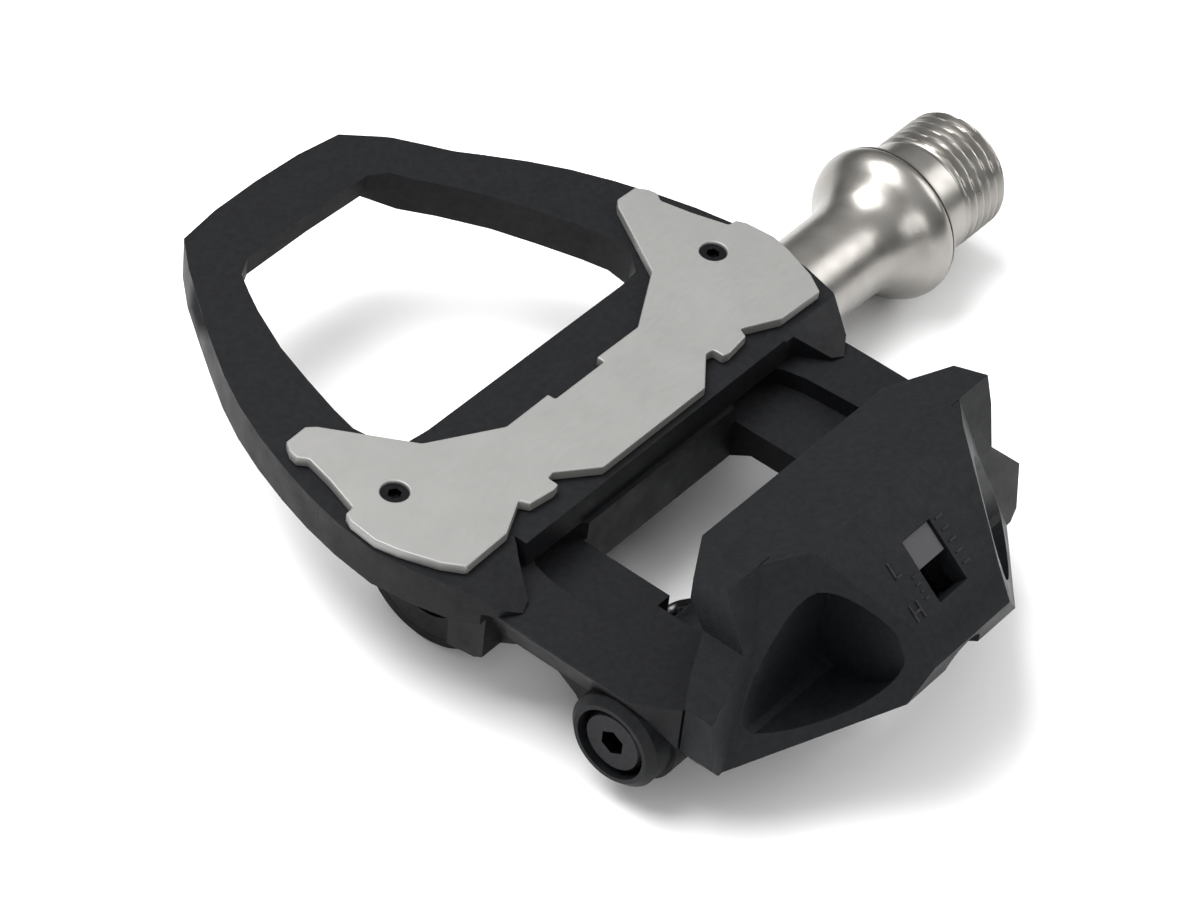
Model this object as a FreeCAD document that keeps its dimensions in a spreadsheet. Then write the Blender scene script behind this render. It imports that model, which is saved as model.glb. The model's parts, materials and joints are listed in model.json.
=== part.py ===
"""Left-hand clipless road pedal, modelled as separate pieces.

Frame: millimetres, origin at the centre of the spindle's shoulder face.
+X runs along the spindle towards the crank, +Y points to the toe hoop and +Z up to the cleat.
"""
import FreeCAD, Part
import Sketcher
import math
import os
from FreeCAD import Placement, Rotation, Vector

os.makedirs("parts", exist_ok=True)
doc = FreeCAD.newDocument("pedal")
sheet = doc.addObject("Spreadsheet::Sheet", "Dims")

# Driving dimensions: lengths in mm, angles in degrees, the rest plain counts.
DRIVING = {
    # frame of the pedal
    "centre_x": -53.86, "pin_y": -27.0, "pin_z": -1.0,
    # levels of the hoop, the plate seat and the toe bar
    "hoop_base_z": 4.3, "seat_z": 8.8, "bar_top_z": 9.6, "plate_thick": 1.2,
    # barrel that houses the bearings, measured from the centre plane
    "barrel_radius": 8.75, "barrel_end_radius": 8.2, "barrel_in": 29.4, "barrel_out": 24.54,
    # rear arms
    "arm_top_z": 5.7, "arm_base_z": 0.3, "arm_half": 28.2, "arm_gap_half": 12.3,
    "knuckle_radius": 5.8, "knuckle_in": 16.0, "knuckle_out": 25.4, "pocket_z": 3.6,
    "boss_radius": 5.3, "boss_out": 28.5,
    # claw
    "claw_half": 25.5, "lip_half": 14.8, "hub_radius": 5.6, "hub_half": 15.4,
    "coil_room_half": 9.6, "nut_room_half": 6.0, "scoop_half": 8.2,
    # pivot pin and its fittings
    "pin_radius": 2.5, "head_radius": 3.55, "head_recess_radius": 4.0, "head_thick": 2.2,
    "bush_in": 10.6,
    # spindle
    "thread_radius": 7.14, "root_radius": 6.45, "thread_pitch": 1.27, "thread_end": 12.6,
    "first_crest": 5.4, "crests": 6, "flange_radius": 9.1, "neck_radius": 5.5,
    # cartridge bearings: bore, outside and width of the inboard one, then of the other two
    "large_bore": 4.0, "large_outer": 7.0, "small_bore": 3.0, "small_outer": 6.0,
    "bearing_width": 4.0, "ball_radius": 1.0,
    # tension screw
    "screw_radius": 1.5, "screw_head_radius": 2.5,
    # torsion springs
    "wire_radius": 0.8, "coil_radius": 4.3, "coil_turns": 3,
}
for row, (alias, value) in enumerate(DRIVING.items(), start=1):
    sheet.set("A%d" % row, alias)
    sheet.set("B%d" % row, str(value))
    sheet.setAlias("B%d" % row, alias)
doc.recompute()


class Size:
    """A number together with the sheet expression that drives it."""

    def __init__(self, value, text):
        self.value = value
        self.text = text

    @staticmethod
    def of(other):
        return other if isinstance(other, Size) else Size(float(other), "(%r)" % float(other))

    def joined(self, sign, other, value):
        return Size(value, "(%s %s %s)" % (self.text, sign, other.text))

    def __add__(self, other):
        other = Size.of(other)
        return self.joined("+", other, self.value + other.value)

    def __sub__(self, other):
        other = Size.of(other)
        return self.joined("-", other, self.value - other.value)

    def __mul__(self, other):
        other = Size.of(other)
        return self.joined("*", other, self.value * other.value)

    def __truediv__(self, other):
        other = Size.of(other)
        return self.joined("/", other, self.value / other.value)

    def __radd__(self, other):
        return Size.of(other) + self

    def __rsub__(self, other):
        return Size.of(other) - self

    def __rmul__(self, other):
        return Size.of(other) * self

    def __neg__(self):
        return Size.of(-1) * self

    def __float__(self):
        return self.value


D = {alias: Size(float(value), "Dims.%s" % alias) for alias, value in DRIVING.items()}
CX = D["centre_x"]
PIN_Y = D["pin_y"]
PIN_Z = D["pin_z"]
FAR = 60.0
HAIR = 0.01


# ---------------------------------------------------------------- building blocks
def bind(obj, prop, size):
    """Drive one property of obj from the sheet."""
    if isinstance(size, Size):
        obj.setExpression(prop, size.text)


def new_body(name):
    body = doc.addObject("PartDesign::Body", name)
    body.Label = name
    return body


def hold(sketch, kind, line, size):
    """Dimension the first end of a line from the sketch origin, along one axis."""
    if not isinstance(size, Size) and float(size) == 0.0:
        axis = -2 if kind == "DistanceX" else -1
        sketch.addConstraint(Sketcher.Constraint("PointOnObject", line, 1, axis))
        return
    number = sketch.addConstraint(Sketcher.Constraint(kind, -1, 1, line, 1, float(size)))
    bind(sketch, "Constraints[%d]" % number, size)


def draw_loop(sketch, points):
    """Add one closed polygon whose corners are all dimensioned."""
    count = len(points)
    first = sketch.GeometryCount
    for i, corner in enumerate(points):
        after = points[(i + 1) % count]
        start = Vector(float(corner[0]), float(corner[1]), 0)
        stop = Vector(float(after[0]), float(after[1]), 0)
        sketch.addGeometry(Part.LineSegment(start, stop), False)
    for i, corner in enumerate(points):
        before = first + (i - 1) % count
        sketch.addConstraint(Sketcher.Constraint("Coincident", before, 2, first + i, 1))
        hold(sketch, "DistanceX", first + i, corner[0])
        hold(sketch, "DistanceY", first + i, corner[1])


def draw_circle(sketch, centre, radius):
    """Add one circle with its centre and radius dimensioned."""
    spot = Vector(float(centre[0]), float(centre[1]), 0)
    ring = sketch.addGeometry(Part.Circle(spot, Vector(0, 0, 1), float(radius)), False)
    number = sketch.addConstraint(Sketcher.Constraint("Radius", ring, float(radius)))
    bind(sketch, "Constraints[%d]" % number, radius)
    for kind, size, axis in (("DistanceX", centre[0], -2), ("DistanceY", centre[1], -1)):
        if not isinstance(size, Size) and float(size) == 0.0:
            sketch.addConstraint(Sketcher.Constraint("PointOnObject", ring, 3, axis))
        else:
            number = sketch.addConstraint(Sketcher.Constraint(kind, -1, 1, ring, 3, float(size)))
            bind(sketch, "Constraints[%d]" % number, size)


# local sketch axes of each origin plane, as (along x, along y, normal) of the global frame
PLANE_AXES = {"XY_Plane": (0, 1, 2, 1), "YZ_Plane": (1, 2, 0, 1), "XZ_Plane": (0, 2, 1, -1)}


def add_sketch(body, name, role, place=(0, 0, 0), loops=(), circles=()):
    """A sketch on an origin plane, moved to the global point place."""
    sketch = body.newObject("Sketcher::SketchObject", "%s_%s" % (body.Name, name))
    plane = [f for f in body.Origin.OriginFeatures if f.Role == role][0]
    sketch.AttachmentSupport = [(plane, "")]
    sketch.MapMode = "FlatFace"
    across, upward, normal, sign = PLANE_AXES[role]
    local = (place[across], place[upward], sign * place[normal])
    sketch.AttachmentOffset = Placement(Vector(*[float(v) for v in local]), Rotation())
    for letter, size in zip("xyz", local):
        bind(sketch, ".AttachmentOffset.Base.%s" % letter, size)
    for points in loops:
        draw_loop(sketch, points)
    for centre, radius in circles:
        draw_circle(sketch, centre, radius)
    return sketch


def volume(body):
    doc.recompute()
    return 0.0 if body.Shape.isNull() else body.Shape.Volume


def feature(body, kind, name, sketch, length, middle=False, back=False):
    """A Pad or a Pocket of a sketch; a Pocket that cuts nothing is an error."""
    before = volume(body)
    item = body.newObject("PartDesign::%s" % kind, "%s_%s" % (body.Name, name))
    item.Profile = sketch
    item.Length = float(length)
    bind(item, "Length", length)
    item.Midplane = middle
    item.Reversed = back
    after = volume(body)
    changed = after > before + HAIR if kind == "Pad" else after < before - HAIR
    if not changed:
        raise ValueError("%s %s changes nothing" % (body.Name, name))
    return item


def pad(body, name, sketch, length, middle=False, back=False):
    return feature(body, "Pad", name, sketch, length, middle, back)


def pocket(body, name, sketch, length, middle=False, back=False):
    return feature(body, "Pocket", name, sketch, length, middle, back)


def turn(body, name, points, place=(0, 0, 0), cut=False):
    """Revolve a profile of (x, radius) corners about the X direction through place."""
    before = volume(body)
    sketch = add_sketch(body, name, "XY_Plane", place, [points])
    kind = "Groove" if cut else "Revolution"
    item = body.newObject("PartDesign::%s" % kind, "%s_%s_turned" % (body.Name, name))
    item.Profile = sketch
    item.ReferenceAxis = (sketch, ["H_Axis"])
    item.Angle = 360
    after = volume(body)
    if abs(after - before) < HAIR:
        raise ValueError("%s %s changes nothing" % (body.Name, name))
    return item


def slice_off(body, name, point, normal):
    """Cut away everything beyond the plane through point that faces normal."""
    before = volume(body)
    sketch = body.newObject("Sketcher::SketchObject", "%s_%s" % (body.Name, name))
    plane = [f for f in body.Origin.OriginFeatures if f.Role == "XY_Plane"][0]
    sketch.AttachmentSupport = [(plane, "")]
    sketch.MapMode = "FlatFace"
    facing = Rotation(Vector(0, 0, 1), Vector(*normal))
    sketch.AttachmentOffset = Placement(Vector(*[float(v) for v in point]), facing)
    draw_loop(sketch, [(FAR, FAR), (-FAR, FAR), (-FAR, -FAR), (FAR, -FAR)])
    item = body.newObject("PartDesign::Pocket", "%s_%s_cut" % (body.Name, name))
    item.Profile = sketch
    item.Length = FAR
    item.Reversed = True
    if volume(body) > before - HAIR:
        raise ValueError("%s %s cuts nothing" % (body.Name, name))
    return item


def mirrored(half):
    """Close a half outline, listed from its one end to the other, about x = 0."""
    other = [(-x, y) for x, y in reversed(half) if isinstance(x, Size) or x != 0]
    return list(half) + other


def block(x_low, x_high, y_low, y_high):
    """Rectangle between two first and two second coordinates."""
    return [(x_low, y_low), (x_high, y_low), (x_high, y_high), (x_low, y_high)]


def crop_corners(points, rounds=2):
    """Round a closed outline by cutting every corner at a quarter of its sides, again and again."""
    for _ in range(rounds):
        after = points[1:] + points[:1]
        cut = [((3 * a[0] + b[0]) / 4, (3 * a[1] + b[1]) / 4, (a[0] + 3 * b[0]) / 4, (a[1] + 3 * b[1]) / 4)
               for a, b in zip(points, after)]
        points = [pair for four in cut for pair in (four[:2], four[2:])]
    return points


# ---------------------------------------------------------------- pedal body
HOOP_OUTER = [(0, 45.9), (6.5, 45.7), (12.1, 44.9), (15.3, 41.2), (18.2, 37.0), (21.3, 32.4),
              (24.0, 28.2), (26.2, 24.1), (28.1, 19.6), (29.7, 14.9), (30.9, 10.6), (31.8, 6.0),
              (32.3, 0.9), (31.6, -4.0), (30.5, -8.2), (28.2, -12.0), (26.2, -13.4),
              (24.7, -12.8), (22.6, -9.6), (20.9, -7.5), (17.5, -6.5), (12.6, -7.6), (9.3, -9.2)]
HOOP_INNER = [(0, 38.6), (9.4, 38.4), (11.6, 37.2), (14.3, 32.4), (16.8, 27.0), (18.5, 21.8),
              (19.9, 17.0), (20.6, 13.8), (20.2, 10.8), (18.2, 8.6), (15.5, 8.3)]
RAMP_FOOT_Y = 34.9
TOE_BAR = HOOP_OUTER[:5] + [(19.6, RAMP_FOOT_Y), (12.9, RAMP_FOOT_Y)] + HOOP_INNER[2:0:-1] + [(0, 38.6)]
NOSE_POCKET = [(0, 42.4), (9.0, 42.2), (10.8, 40.8), (12.2, 36.0), (0, 36.0)]
POCKET_EDGE = [(11.8, -9.95), (12.9, -8.7), (14.6, -7.6), (16.5, -7.2), (18.7, -8.1),
               (20.1, -10.0), (20.7, -12.5), (21.1, -19.0), (21.2, -21.6), (11.8, -21.6)]
SCREW_SPOT = (25.5, 4.1)
BARREL_REAR_Y = -9.9


def toe_hoop(body):
    """Flat ring of hoop and platform, the raised toe bar and the nose pocket under it."""
    base = D["hoop_base_z"]
    ring = add_sketch(body, "ring", "XY_Plane", (CX, 0, base), [mirrored(HOOP_OUTER), mirrored(HOOP_INNER)])
    pad(body, "ring_pad", ring, D["seat_z"] - base)
    bar = add_sketch(body, "bar", "XY_Plane", (CX, 0, D["seat_z"]), [mirrored(TOE_BAR)])
    pad(body, "bar_pad", bar, D["bar_top_z"] - D["seat_z"])
    top = D["bar_top_z"] + 1
    slope = [(RAMP_FOOT_Y, D["seat_z"]), (40.4, D["bar_top_z"]), (40.4, top), (RAMP_FOOT_Y, top)]
    ramp = add_sketch(body, "ramp", "YZ_Plane", (CX, 0, 0), [slope])
    pocket(body, "ramp_cut", ramp, FAR, middle=True)
    nose = add_sketch(body, "nose", "XY_Plane", (CX, 0, base - 1), [mirrored(NOSE_POCKET)])
    pocket(body, "nose_cut", nose, 3.7, back=True)


def barrel(body):
    """Bearing barrel under the platform with a flat wall behind and a slope in front."""
    seat = D["seat_z"]
    profile = [(-D["barrel_out"], 0), (-D["barrel_out"], D["barrel_end_radius"]),
               (-19.5, D["barrel_radius"]), (D["barrel_in"] - 1.5, D["barrel_radius"]),
               (D["barrel_in"], D["barrel_radius"] - 0.8), (D["barrel_in"], 0)]
    turn(body, "barrel", profile, (CX, 0, 0))
    section = [(-9.2, seat), (BARREL_REAR_Y, 0.1), (-8.4, -3.0), (8.4, -2.4), (8.7, 0), (8.6, 4.2),
               (3.2, seat)]
    web = add_sketch(body, "web", "YZ_Plane", (CX + 3.0, 0, 0), [section])
    pad(body, "web_pad", web, 48.0, middle=True)


def rear_arms(body):
    """Two arms with stepped cleat pockets, ending in knuckles and pin bosses."""
    top, base, half = D["arm_top_z"], D["arm_base_z"], D["arm_half"]
    rear = PIN_Y - D["knuckle_radius"]
    side = [(-6, top), (rear, top), (rear, PIN_Z), (PIN_Y, -3.0), (-21.8, -3.2), (-20.2, -1.2),
            (-17.8, base), (-12.6, base), (-9.5, -1.6), (-6, -2.2)]
    arms = add_sketch(body, "arms", "YZ_Plane", (CX, 0, 0), [side])
    pad(body, "arms_pad", arms, half * 2, middle=True)
    out = D["knuckle_out"]
    for sign, tag in ((1, "in"), (-1, "out")):
        flank = [(sign * (half + 0.1), top), (sign * out, base), (sign * out, -FAR / 4),
                 (sign * FAR / 2, -FAR / 4), (sign * FAR / 2, top)]
        bevel = add_sketch(body, "bevel_" + tag, "XZ_Plane", (CX, -10.5, 0), [flank])
        pocket(body, "bevel_cut_" + tag, bevel, FAR, back=True)
        tail = [(sign * (half + 0.1), -28.2), (sign * out, rear - 0.1), (sign * out, -FAR),
                (sign * FAR / 2, -FAR), (sign * FAR / 2, -28.2)]
        corner = add_sketch(body, "corner_" + tag, "XY_Plane", (CX, 0, -FAR / 4), [tail])
        pocket(body, "corner_cut_" + tag, corner, FAR, back=True)
        horn = [(-8.6, D["seat_z"]), (-13.6, top), (-16, top), (-16, FAR / 4), (-8.6, FAR / 4)]
        fall = add_sketch(body, "horn_" + tag, "YZ_Plane", (CX + sign * 27.0, 0, 0), [horn])
        pocket(body, "horn_cut_" + tag, fall, 12.0, middle=True)
    knuckle = [(-out, 0), (-out, D["knuckle_radius"]), (out, D["knuckle_radius"]), (out, 0)]
    turn(body, "knuckle", knuckle, (CX, PIN_Y, PIN_Z))
    boss, far = D["boss_radius"], D["boss_out"]
    ends = [(-far, 0), (-far, boss - 0.8), (-far + 0.8, boss), (far - 0.8, boss), (far, boss - 0.8), (far, 0)]
    turn(body, "boss", ends, (CX, PIN_Y, PIN_Z))
    gap, inner = D["arm_gap_half"], D["knuckle_in"]
    window = [(gap, BARREL_REAR_Y - 0.1), (gap, -21.0), (inner, -21.0), (inner, -FAR)]
    hole = add_sketch(body, "window", "XY_Plane", (CX, 0, -FAR / 2), [mirrored(window)])
    pocket(body, "window_cut", hole, FAR, back=True)
    for sign, tag in ((1, "in"), (-1, "out")):
        edge = [(sign * x, y) for x, y in POCKET_EDGE]
        floor = add_sketch(body, "step_" + tag, "XY_Plane", (CX, 0, D["pocket_z"]), [edge])
        pocket(body, "step_cut_" + tag, floor, top - D["pocket_z"] + 0.1, back=True)


def body_bores(body):
    """Bearing bore, pin bore with head recesses, and the plate screw holes."""
    end = CX - D["barrel_out"]
    bore = [(end - 1, 0), (end - 1, 7.3), (-77.2, 7.3), (-77.2, 6.3), (-72, 6.3), (-72, D["small_outer"]),
            (-60, D["small_outer"]), (-60, 5.2), (-33, 5.2), (-33, D["large_outer"]),
            (-24, D["large_outer"]), (-24, 6.6), (-20, 6.6), (-20, 0)]
    turn(body, "bore", bore, cut=True)
    far, recess = D["boss_out"], D["head_recess_radius"]
    floor = far - D["head_thick"] - 0.4
    pin = [(-far - 1, 0), (-far - 1, recess), (-floor, recess), (-floor, D["pin_radius"] + 0.03),
           (floor, D["pin_radius"] + 0.03), (floor, recess), (far + 1, recess), (far + 1, 0)]
    turn(body, "pin_bore", pin, (CX, PIN_Y, PIN_Z), cut=True)
    spots = [((sign * SCREW_SPOT[0], SCREW_SPOT[1]), 1.1) for sign in (-1, 1)]
    pilots = add_sketch(body, "pilots", "XY_Plane", (CX, 0, D["seat_z"]), circles=spots)
    pocket(body, "pilots_cut", pilots, 2.0)


def pedal_body():
    body = new_body("pedal_body")
    toe_hoop(body)
    barrel(body)
    rear_arms(body)
    body_bores(body)
    return body


# ---------------------------------------------------------------- contact plate and its screws
PLATE_EDGE = [(3.9, 1.4), (3.9, 2.35), (10.55, 2.3), (18.35, 6.7), (23.9, 15.8), (24.8, 16.6),
              (27.7, 16.5), (28.5, 15.3), (28.7, 14.2), (28.0, 13.2), (28.8, 9.7), (30.1, 5.6),
              (31.2, 5.5), (31.7, 4.4), (32.0, 1.0), (31.4, -1.6), (29.9, -5.6), (28.5, -7.8),
              (22.2, -7.6), (17.9, -5.5), (17.4, -6.6), (14.2, -7.0), (13.3, -6.8), (13.3, -5.5),
              (12.4, -5.3), (8.2, -8.45)]


def contact_plate():
    body = new_body("contact_plate")
    outline = add_sketch(body, "outline", "XY_Plane", (CX, 0, D["seat_z"]), [mirrored(PLATE_EDGE)])
    pad(body, "sheet", outline, D["plate_thick"])
    spots = [((sign * SCREW_SPOT[0], SCREW_SPOT[1]), 1.5) for sign in (-1, 1)]
    holes = add_sketch(body, "holes", "XY_Plane", (CX, 0, D["seat_z"] + D["plate_thick"]), circles=spots)
    pocket(body, "holes_cut", holes, D["plate_thick"])
    return body


def plate_screws():
    """Two small screws, heads sunk in the plate, each with a hexagon socket."""
    both = doc.addObject("Part::MultiFuse", "plate_screws")
    both.Label = "plate_screws"
    parts = []
    for sign, tag in ((-1, "out"), (1, "in")):
        body = new_body("plate_screw_" + tag)
        x = CX + sign * SCREW_SPOT[0]
        top = D["seat_z"] + D["plate_thick"] - 0.3
        place = (x, SCREW_SPOT[1], top)
        head = add_sketch(body, "head", "XY_Plane", place, circles=[((0, 0), 1.45)])
        pad(body, "head_pad", head, 0.9, back=True)
        shank = add_sketch(body, "shank", "XY_Plane", place, circles=[((0, 0), 1.1)])
        pad(body, "shank_pad", shank, 2.8, back=True)
        socket = add_sketch(body, "socket", "XY_Plane", place, [hexagon(1.3)])
        pocket(body, "socket_cut", socket, 0.7)
        parts.append(body)
    both.Shapes = parts
    return both


def hexagon(across, centre=(0, 0)):
    """Corners of a hexagon of the given width across its flats."""
    reach = across / math.sqrt(3)
    turns = [math.radians(60 * i + 30) for i in range(6)]
    return [(centre[0] + reach * math.cos(a), centre[1] + reach * math.sin(a)) for a in turns]


def end_hexagon(body, name, x, across, depth, place=(0, 0), inward=-1):
    """Sink a hexagon socket along X from the plane at x; inward is the way it goes."""
    sketch = add_sketch(body, name, "YZ_Plane", (x, place[0], place[1]), [hexagon(across)])
    pocket(body, name + "_cut", sketch, depth, back=inward > 0)


# ---------------------------------------------------------------- spindle and its small parts
def spindle():
    """Spindle with ring-shaped thread crests at the real pitch."""
    crest, root, pitch = D["thread_radius"], D["root_radius"], D["thread_pitch"]
    land = 0.395
    profile = [(-76.0, 0), (-76.0, 2.2), (-75.6, 2.5), (-72.0, 2.5), (-72.0, D["small_bore"]),
               (-60.0, D["small_bore"]), (-60.0, D["large_bore"]), (-29.0, D["large_bore"]),
               (-29.0, 5.3), (-24.0, D["neck_radius"]), (-7.4, D["neck_radius"]), (-6.2, 5.9),
               (-5.0, 6.9), (-3.8, 8.1), (-2.8, 8.8), (-1.9, D["flange_radius"]),
               (-0.8, D["flange_radius"]), (-0.5, 8.8), (0, 8.6), (0, crest), (4.6, crest)]
    for i in range(int(D["crests"].value)):
        middle = D["first_crest"] + pitch * i
        profile += [(middle - pitch / 2, root), (middle - land, crest), (middle + land, crest)]
    profile += [(D["thread_end"], crest - 0.45), (D["thread_end"], 0)]
    body = new_body("spindle")
    turn(body, "outline", profile)
    end_hexagon(body, "socket", D["thread_end"], 8.0, 6.0)
    return body


def ring_body(name, left, right, inner, outer, place=(0, 0, 0)):
    """A plain turned ring between two x values."""
    body = new_body(name)
    turn(body, "ring", [(left, inner), (left, outer), (right, outer), (right, inner)], place)
    return body


def dust_seal():
    """Rubber lip that closes the inboard end of the barrel."""
    neck, room = D["neck_radius"] + 0.05, D["large_outer"]
    profile = [(-28.6, neck + 0.5), (-28.6, room), (-24.1, room), (-24.1, 6.4), (-23.2, 6.2),
               (-22.6, neck), (-23.3, neck), (-24.6, neck + 0.5)]
    body = new_body("dust_seal")
    turn(body, "lip", profile)
    return body


def lock_nut():
    body = new_body("lock_nut")
    outline = add_sketch(body, "hexagon", "YZ_Plane", (-75.4, 0, 0), [hexagon(8.0)], [((0, 0), 2.5)])
    pad(body, "hexagon_pad", outline, 2.9)
    return body


def end_cap():
    """Screw-in cap with a ring groove, a slotted recess and a hollow back."""
    face = CX - D["barrel_out"]
    profile = [(face, 0), (face, 7.24), (-77.25, 7.24), (-77.25, 6.25), (-74.2, 6.25), (-74.2, 5.0),
               (-76.4, 5.0), (-76.4, 0)]
    body = new_body("end_cap")
    turn(body, "outline", profile)
    dish = [(face - 1, 0), (face - 1, 4.6), (face + 0.7, 4.6), (face + 0.7, 0)]
    turn(body, "dish", dish, cut=True)
    sketch = add_sketch(body, "slot", "YZ_Plane", (face + 0.7, 0, 0), [block(-3.9, 3.9, -0.7, 0.7)])
    pocket(body, "slot_cut", sketch, 0.8, back=True)
    return body


def cap_ring():
    """O-ring between the end cap and the barrel."""
    ring = doc.addObject("Part::Torus", "cap_ring")
    ring.Label = "cap_ring"
    ring.Radius1 = 5.55
    ring.Radius2 = 0.55
    ring.Placement = Placement(Vector(-73.6, 0, 0), Rotation(Vector(0, 1, 0), 90))
    return ring


# ---------------------------------------------------------------- cartridge bearings
class Bearing:
    """One cartridge bearing along X, starting at its left face."""

    def __init__(self, tag, left, bore, outer, count):
        self.tag = tag
        self.left = left
        self.bore = bore
        self.outer = outer
        self.count = count
        self.pitch = (bore + outer) / 2
        self.middle = left + D["bearing_width"] / 2

    def race(self, name, inner, outer):
        right = self.left + D["bearing_width"]
        body = ring_body("bearing_%s_%s" % (self.tag, name), self.left, right, inner, outer)
        groove = D["ball_radius"] + 0.04
        turn(body, "track", arc_section(self.middle, self.pitch, groove), cut=True)
        return body

    def spots(self):
        turns = [2 * math.pi * i / self.count for i in range(self.count)]
        pitch = float(self.pitch)
        return [Vector(float(self.middle), pitch * math.cos(a), pitch * math.sin(a)) for a in turns]

    def balls(self):
        group = doc.addObject("Part::Compound", "bearing_%s_balls" % self.tag)
        group.Label = "bearing_%s_balls" % self.tag
        found = []
        for i, spot in enumerate(self.spots()):
            ball = doc.addObject("Part::Sphere", "ball_%s_%d" % (self.tag, i))
            bind(ball, "Radius", D["ball_radius"])
            ball.Placement = Placement(spot, Rotation())
            found.append(ball)
        group.Links = found
        return group

    def cage(self):
        """Ring on the balls' pitch circle with a round pocket for each ball."""
        half = 1.35
        ring = ring_body("cage_ring_" + self.tag, self.middle - half, self.middle + half,
                         self.pitch - 0.35, self.pitch + 0.35)
        drills = []
        for i, spot in enumerate(self.spots()):
            outward = Vector(0, spot.y, spot.z).normalize()
            drill = doc.addObject("Part::Cylinder", "drill_%s_%d" % (self.tag, i))
            bind(drill, "Radius", D["ball_radius"] + 0.06)
            drill.Height = 2
            drill.Placement = Placement(spot - outward, Rotation(Vector(0, 0, 1), outward))
            drills.append(drill)
        holes = doc.addObject("Part::MultiFuse", "cage_holes_" + self.tag)
        holes.Shapes = drills
        cage = doc.addObject("Part::Cut", "bearing_%s_cage" % self.tag)
        cage.Label = "bearing_%s_cage" % self.tag
        cage.Base = ring
        cage.Tool = holes
        return cage

    def shields(self):
        name = "bearing_%s_shields" % self.tag
        group = doc.addObject("Part::Compound", name)
        group.Label = name
        inner, outer = self.bore + 1.08, self.outer - 1.0
        right = self.left + D["bearing_width"]
        group.Links = [ring_body(name + "_left", self.left + 0.1, self.left + 0.35, inner, outer),
                       ring_body(name + "_right", right - 0.35, right - 0.1, inner, outer)]
        return group

    def nodes(self):
        inner = self.race("inner_race", self.bore, self.bore + 1.0)
        outer = self.race("outer_race", self.outer - 1.0, self.outer)
        return [inner, outer, self.balls(), self.cage(), self.shields()]


def arc_section(middle, pitch, radius, steps=12):
    """Round section of a ball track, as a polygon outside the circle."""
    reach = radius / math.cos(math.pi / steps)
    turns = [2 * math.pi * (i + 0.5) / steps for i in range(steps)]
    return [(middle + reach * math.cos(a), pitch + reach * math.sin(a)) for a in turns]


def bearings():
    large = Bearing("inboard", Size.of(-33.0), D["large_bore"], D["large_outer"], 13)
    middle = Bearing("middle", Size.of(-64.0), D["small_bore"], D["small_outer"], 11)
    small = Bearing("outboard", Size.of(-72.0), D["small_bore"], D["small_outer"], 11)
    return large.nodes() + middle.nodes() + small.nodes()


def spindle_parts():
    width = D["bearing_width"]
    return [
        spindle(), dust_seal(), lock_nut(), end_cap(), cap_ring(),
        ring_body("lock_washer", -72.5, -72.0, 2.55, 4.0),
        ring_body("inner_spacer", -72.0 + width, -64.0, D["small_bore"], D["small_bore"] + 0.9),
        ring_body("outer_spacer", -72.0 + width, -64.0, D["small_outer"] - 0.9, D["small_outer"]),
    ]


# ---------------------------------------------------------------- claw
LIP = Vector(0, -25.3, 16.7)
CROWN = Vector(0, -36.2, 20.25)
HEEL = Vector(0, -46.2, 12.0)
TAIL = Vector(0, -48.4, 8.6)
TOE = Vector(0, -47.7, 5.2)
KEEL = Vector(0, -37.3, -0.8)
BACK_SLOPE = (HEEL - CROWN).normalize()
BACK_NORMAL = Vector(0, BACK_SLOPE.z, -BACK_SLOPE.y)
WINDOW_MID = (CROWN * 0.35 + HEEL * 0.65)
SCREW_MID = WINDOW_MID - BACK_NORMAL * 4.5
# distances below the middle of the screw: start of its hole, seat of its head
SHANK_STOP = 3.0
HEAD_STOP = 6.6


def yz(point):
    return (point.y, point.z)


def on_top(y):
    """The point at y on the claw's flat top, which runs from the lip to the crown."""
    return (y, LIP.z + (CROWN.z - LIP.z) * (y - LIP.y) / (CROWN.y - LIP.y))


def hump(body):
    """Faceted block behind the slab, which holds the tension screw."""
    side = [on_top(-33.2), yz(CROWN), yz(HEEL), yz(TAIL), yz(TOE), yz(KEEL), (-33.2, -1.6)]
    sketch = add_sketch(body, "hump", "YZ_Plane", (CX, 0, 0), [side])
    pad(body, "hump_pad", sketch, 48.0, middle=True)
    for sign, tag in ((1, "in"), (-1, "out")):
        corner = (CX + sign * 12.4, CROWN.y, CROWN.z)
        slice_off(body, "flank_" + tag, corner, (sign * 0.632, -0.676, 0.379))


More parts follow.
